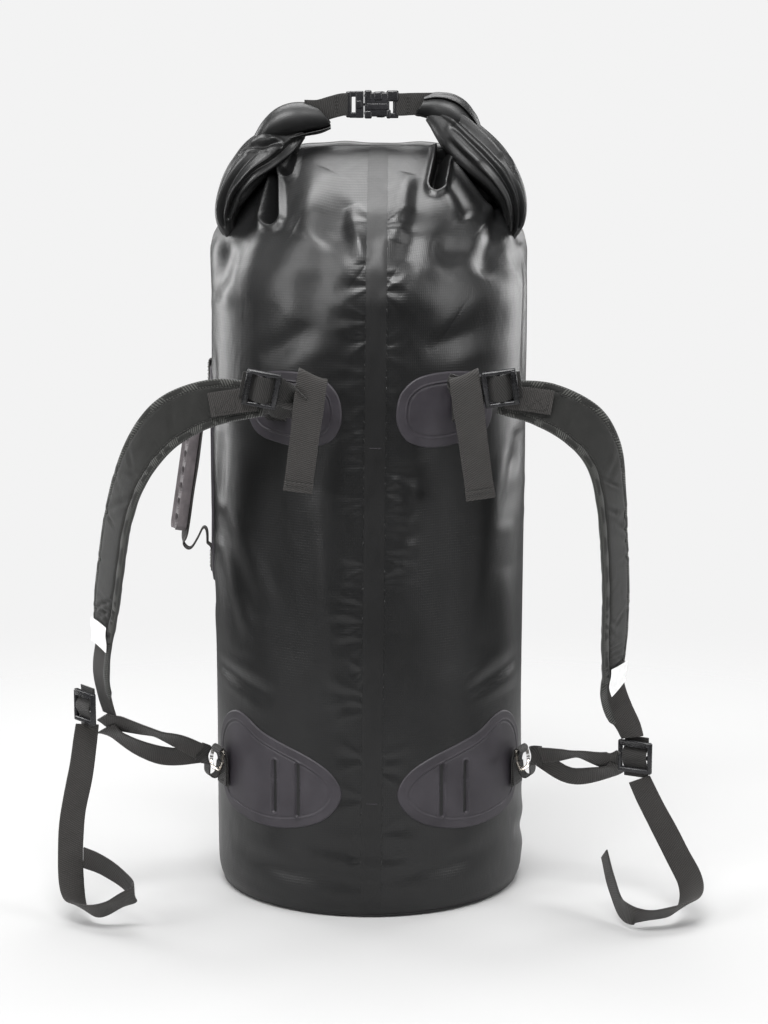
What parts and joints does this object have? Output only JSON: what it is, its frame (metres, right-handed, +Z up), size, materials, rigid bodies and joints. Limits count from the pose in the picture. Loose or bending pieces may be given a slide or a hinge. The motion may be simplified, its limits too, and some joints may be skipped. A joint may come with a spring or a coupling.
{
  "type": "roll-top dry bag",
  "caption": "Cylindrical roll-top dry bag in coated fabric with a buckled closure loop, padded shoulder straps, webbing tails and a side carry handle.",
  "frame": {"origin": "centre of the round base's underside", "axes": "+Z up the bag from base to rolled top, -Y out of the side that carries the shoulder harness, -X towards the carry handle"},
  "size_m": [0.6382, 0.3643, 0.8109],
  "materials": {
    "skin": "semi-gloss coated tarpaulin",
    "patch": "matt welded patch",
    "webbing": "twill-woven webbing",
    "padding": "plain-woven pad cover",
    "lining": "ribbed mesh",
    "plastic": "moulded, satin gloss",
    "grip": "moulded matt grip",
    "steel": "polished nickel-plated wire",
    "reflective": "pale reflective tape"
  },
  "bodies": {
    "root": {"bag_shell": "skin", "base_panel": "skin", "seam_tape": "skin", "handle_patch": "patch", "handle_tab_upper": "webbing", "handle_tab_lower": "webbing", "upper_patch_left": "patch", "ring_keeper_upper_left": "webbing", "lower_patch_left": "patch", "ring_keeper_lower_left": "webbing", "upper_link_left": "webbing", "lower_loop_left": "webbing", "upper_patch_right": "patch", "ring_keeper_upper_right": "webbing", "lower_patch_right": "patch", "ring_keeper_lower_right": "webbing", "upper_link_right": "webbing", "lower_loop_right": "webbing"},
    "top_loop": {"rolled_collar": "skin", "collar_stiffener": "plastic", "right_roll_arm": "skin", "buckle_webbing_right": "webbing", "buckle_female": "plastic"},
    "buckle_male": {"left_roll_arm": "skin", "buckle_webbing_left": "webbing", "buckle_male": "plastic"},
    "latch_upper": {"latch_upper": "plastic"},
    "latch_lower": {"latch_lower": "plastic"},
    "carry_handle": {"carry_grip": "grip", "carry_webbing": "webbing"},
    "d_ring_upper_left": {"d_ring_upper_left": "steel"},
    "d_ring_lower_left": {"d_ring_lower_left": "steel"},
    "strap_left": {"shoulder_pad_left": "padding", "pad_backing_left": "lining", "pad_tab_left": "webbing", "upper_lock_left": "plastic", "strap_end_left": "webbing", "lower_lock_left": "plastic", "lower_strand_upper_left": "webbing", "lower_strand_lower_left": "webbing", "reflective_band_left": "reflective"},
    "upper_tail_left": {"upper_tail_left": "webbing"},
    "lower_tail_left": {"lower_tail_left": "webbing"},
    "d_ring_upper_right": {"d_ring_upper_right": "steel"},
    "d_ring_lower_right": {"d_ring_lower_right": "steel"},
    "strap_right": {"shoulder_pad_right": "padding", "pad_backing_right": "lining", "pad_tab_right": "webbing", "upper_lock_right": "plastic", "strap_end_right": "webbing", "lower_lock_right": "plastic", "lower_strand_upper_right": "webbing", "lower_strand_lower_right": "webbing", "reflective_band_right": "reflective"},
    "upper_tail_right": {"upper_tail_right": "webbing"},
    "lower_tail_right": {"lower_tail_right": "webbing"}
  },
  "joints": [
    {"name": "top_loop_tilt", "type": "hinge", "parent": "root", "child": "top_loop", "pos_m": [0, 0, 0.7], "axis": [1, 0, 0], "range_deg": [-18, 18]},
    {"name": "buckle_release", "type": "slide", "parent": "top_loop", "child": "buckle_male", "axis": [-1, 0, 0], "range_m": [0, 0.024], "deforming": ["latch_upper", "latch_lower"]},
    {"name": "latch_upper_press", "type": "hinge", "parent": "buckle_male", "child": "latch_upper", "pos_m": [-0.0054, 0, 0.8056], "axis": [0, 1, 0], "range_deg": [0, 10]},
    {"name": "latch_lower_press", "type": "hinge", "parent": "buckle_male", "child": "latch_lower", "pos_m": [-0.0054, 0, 0.7884], "axis": [0, 1, 0], "range_deg": [-10, 0]},
    {"name": "carry_handle_swing", "type": "hinge", "parent": "root", "child": "carry_handle", "pos_m": [-0.168, 0, 0.433], "axis": [0, 0, 1], "range_deg": [-45, 30]},
    {"name": "d_ring_upper_left_swing", "type": "hinge", "parent": "root", "child": "d_ring_upper_left", "pos_m": [-0.09308, -0.1401, 0.53], "axis": [0.8329, -0.5534, 0], "range_deg": [-4, 4]},
    {"name": "d_ring_lower_left_swing", "type": "hinge", "parent": "root", "child": "d_ring_lower_left", "pos_m": [-0.15366, -0.06841, 0.15], "axis": [0.4067, -0.9135, 0], "range_deg": [-4, 4]},
    {"name": "strap_left_swing", "type": "hinge", "parent": "root", "child": "strap_left", "pos_m": [-0.083, -0.188, 0.531], "axis": [0.1998, -0.2591, 0.945], "range_deg": [-30, 50]},
    {"name": "upper_tail_left_swing", "type": "hinge", "parent": "root", "child": "upper_tail_left", "pos_m": [-0.06, -0.19, 0.544], "axis": [-1, 0, 0], "range_deg": [0, 50]},
    {"name": "lower_tail_left_swing", "type": "hinge", "parent": "strap_left", "child": "lower_tail_left", "pos_m": [-0.281, -0.127, 0.1915], "axis": [1, 0, 0], "range_deg": [-10, 25]},
    {"name": "d_ring_upper_right_swing", "type": "hinge", "parent": "root", "child": "d_ring_upper_right", "pos_m": [0.09308, -0.1401, 0.53], "axis": [0.8329, 0.5534, 0], "range_deg": [-4, 4]},
    {"name": "d_ring_lower_right_swing", "type": "hinge", "parent": "root", "child": "d_ring_lower_right", "pos_m": [0.15366, -0.06841, 0.15], "axis": [0.4067, 0.9135, 0], "range_deg": [-4, 4]},
    {"name": "strap_right_swing", "type": "hinge", "parent": "root", "child": "strap_right", "pos_m": [0.106, -0.188, 0.533], "axis": [0.144, 0.2557, -0.956], "range_deg": [-30, 50]},
    {"name": "upper_tail_right_swing", "type": "hinge", "parent": "root", "child": "upper_tail_right", "pos_m": [0.085, -0.19, 0.544], "axis": [-1, 0, 0], "range_deg": [0, 50]},
    {"name": "lower_tail_right_swing", "type": "hinge", "parent": "strap_right", "child": "lower_tail_right", "pos_m": [0.264, -0.126, 0.1405], "axis": [1, 0, 0], "range_deg": [-10, 25]}
  ],
  "couplings": [
    {"joint": "latch_lower_press", "follows": "latch_upper_press", "ratio": -1}
  ]
}
